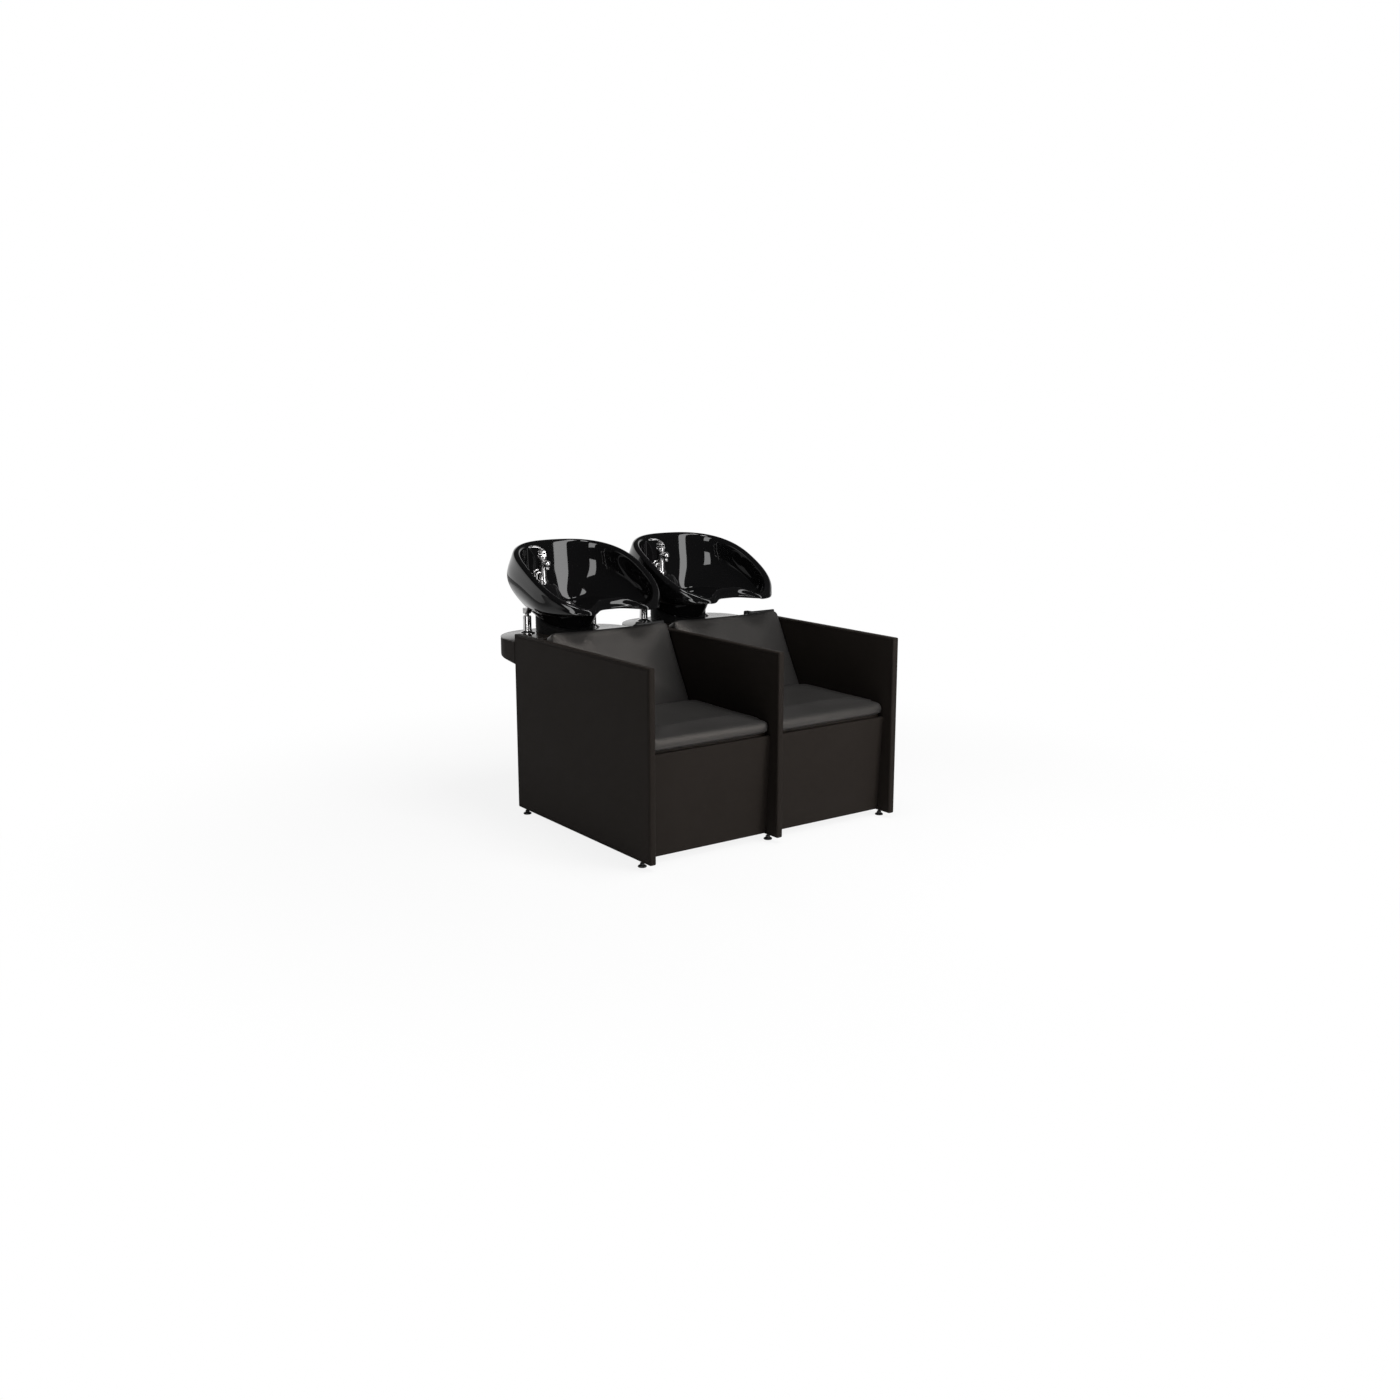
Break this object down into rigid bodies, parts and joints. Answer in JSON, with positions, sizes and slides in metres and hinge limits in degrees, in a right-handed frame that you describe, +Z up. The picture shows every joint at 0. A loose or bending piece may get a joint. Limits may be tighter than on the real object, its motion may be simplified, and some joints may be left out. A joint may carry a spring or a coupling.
{
  "type": "shampoo backwash unit",
  "caption": "Shampoo backwash sofa with upholstered side panels, leaning seat backs and tilting gloss ceramic bowls on a rear shelf, each with a lever mixer and spray.",
  "frame": {"origin": "on the floor under the middle of the unit's outer box", "axes": "+X from the left seat to the right seat as seen from the front, +Y from the seats to the bowls, +Z up"},
  "size_m": [1.156, 1.188, 1.0547],
  "materials": {
    "panel": "semi-matt brown-black vinyl over board",
    "cushion": "soft black vinyl over foam",
    "board": "plain birch plywood",
    "deck": "dark glossy laminate",
    "ceramic": "gloss black glaze",
    "rubber": "matt black rubber",
    "chrome": "polished",
    "steel": "zinc plated",
    "plastic": "black moulded",
    "pipe": "grey moulded"
  },
  "bodies": {
    "sofa": {"left_side_panel": "panel", "centre_side_panel": "panel", "right_side_panel": "panel", "left_apron": "panel", "left_seat_cushion": "cushion", "left_seat_board": "board", "left_seat_rail": "board", "left_back_cushion": "cushion", "left_back_board": "panel", "left_back_cap": "plastic", "left_rear_panel": "panel", "left_shelf_box": "panel", "left_shelf_deck": "deck", "left_bowl_post_a": "chrome", "left_bowl_post_b": "chrome", "left_pivot_pin_a": "steel", "left_pivot_pin_b": "steel", "left_bellows": "rubber", "right_apron": "panel", "right_seat_cushion": "cushion", "right_seat_board": "board", "right_seat_rail": "board", "right_back_cushion": "cushion", "right_back_board": "panel", "right_back_cap": "plastic", "right_rear_panel": "panel", "right_shelf_box": "panel", "right_shelf_deck": "deck", "right_bowl_post_a": "chrome", "right_bowl_post_b": "chrome", "right_pivot_pin_a": "steel", "right_pivot_pin_b": "steel", "right_bellows": "rubber"},
    "left_basin": {"left_bowl": "ceramic", "left_tilt_lug_a": "chrome", "left_tilt_lug_b": "chrome", "left_waste_strainer": "chrome", "left_waste_pipe": "pipe", "left_mixer_body": "chrome", "left_supply_pipe": "chrome"},
    "left_mixer_head": {"left_mixer_cap": "chrome"},
    "left_lever": {"left_mixer_lever": "chrome"},
    "left_spray": {"left_spray_head": "chrome"},
    "right_basin": {"right_bowl": "ceramic", "right_tilt_lug_a": "chrome", "right_tilt_lug_b": "chrome", "right_waste_strainer": "chrome", "right_waste_pipe": "pipe", "right_mixer_body": "chrome", "right_supply_pipe": "chrome"},
    "right_mixer_head": {"right_mixer_cap": "chrome"},
    "right_lever": {"right_mixer_lever": "chrome"},
    "right_spray": {"right_spray_head": "chrome"},
    "left_front_foot": {"left_front_foot": "plastic"},
    "left_rear_foot": {"left_rear_foot": "plastic"},
    "centre_front_foot": {"centre_front_foot": "plastic"},
    "centre_rear_foot": {"centre_rear_foot": "plastic"},
    "right_front_foot": {"right_front_foot": "plastic"},
    "right_rear_foot": {"right_rear_foot": "plastic"}
  },
  "joints": [
    {"name": "left_bowl_tilt", "type": "hinge", "parent": "sofa", "child": "left_basin", "pos_m": [-0.281, 0.496, 0.75125], "axis": [1, 0, 0], "range_deg": [-20, 0], "deforming": ["left_bellows"]},
    {"name": "left_mixer_swivel", "type": "hinge", "parent": "left_basin", "child": "left_mixer_head", "pos_m": [-0.433, 0.366, 1.0046], "axis": [0, 0, 1], "range_deg": [-45, 45]},
    {"name": "left_lever_lift", "type": "hinge", "parent": "left_mixer_head", "child": "left_lever", "pos_m": [-0.433, 0.366, 1.0236], "axis": [0, 1, 0], "range_deg": [0, 22]},
    {"name": "left_spray_pull", "type": "slide", "parent": "left_basin", "child": "left_spray", "axis": [0, -1, 0], "range_m": [0, 0.03]},
    {"name": "right_bowl_tilt", "type": "hinge", "parent": "sofa", "child": "right_basin", "pos_m": [0.281, 0.496, 0.75125], "axis": [1, 0, 0], "range_deg": [-20, 0], "deforming": ["right_bellows"]},
    {"name": "right_mixer_swivel", "type": "hinge", "parent": "right_basin", "child": "right_mixer_head", "pos_m": [0.129, 0.366, 1.0046], "axis": [0, 0, 1], "range_deg": [-45, 45]},
    {"name": "right_lever_lift", "type": "hinge", "parent": "right_mixer_head", "child": "right_lever", "pos_m": [0.129, 0.366, 1.0236], "axis": [0, 1, 0], "range_deg": [0, 22]},
    {"name": "right_spray_pull", "type": "slide", "parent": "right_basin", "child": "right_spray", "axis": [0, -1, 0], "range_m": [0, 0.03]},
    {"name": "left_front_foot_turn", "type": "hinge", "parent": "sofa", "child": "left_front_foot", "pos_m": [-0.562, -0.524, 0], "axis": [0, 0, 1], "continuous": true},
    {"name": "left_rear_foot_turn", "type": "hinge", "parent": "sofa", "child": "left_rear_foot", "pos_m": [-0.562, 0.299, 0], "axis": [0, 0, 1], "continuous": true},
    {"name": "centre_front_foot_turn", "type": "hinge", "parent": "sofa", "child": "centre_front_foot", "pos_m": [0, -0.524, 0], "axis": [0, 0, 1], "continuous": true},
    {"name": "centre_rear_foot_turn", "type": "hinge", "parent": "sofa", "child": "centre_rear_foot", "pos_m": [0, 0.299, 0], "axis": [0, 0, 1], "continuous": true},
    {"name": "right_front_foot_turn", "type": "hinge", "parent": "sofa", "child": "right_front_foot", "pos_m": [0.562, -0.524, 0], "axis": [0, 0, 1], "continuous": true},
    {"name": "right_rear_foot_turn", "type": "hinge", "parent": "sofa", "child": "right_rear_foot", "pos_m": [0.562, 0.299, 0], "axis": [0, 0, 1], "continuous": true}
  ]
}
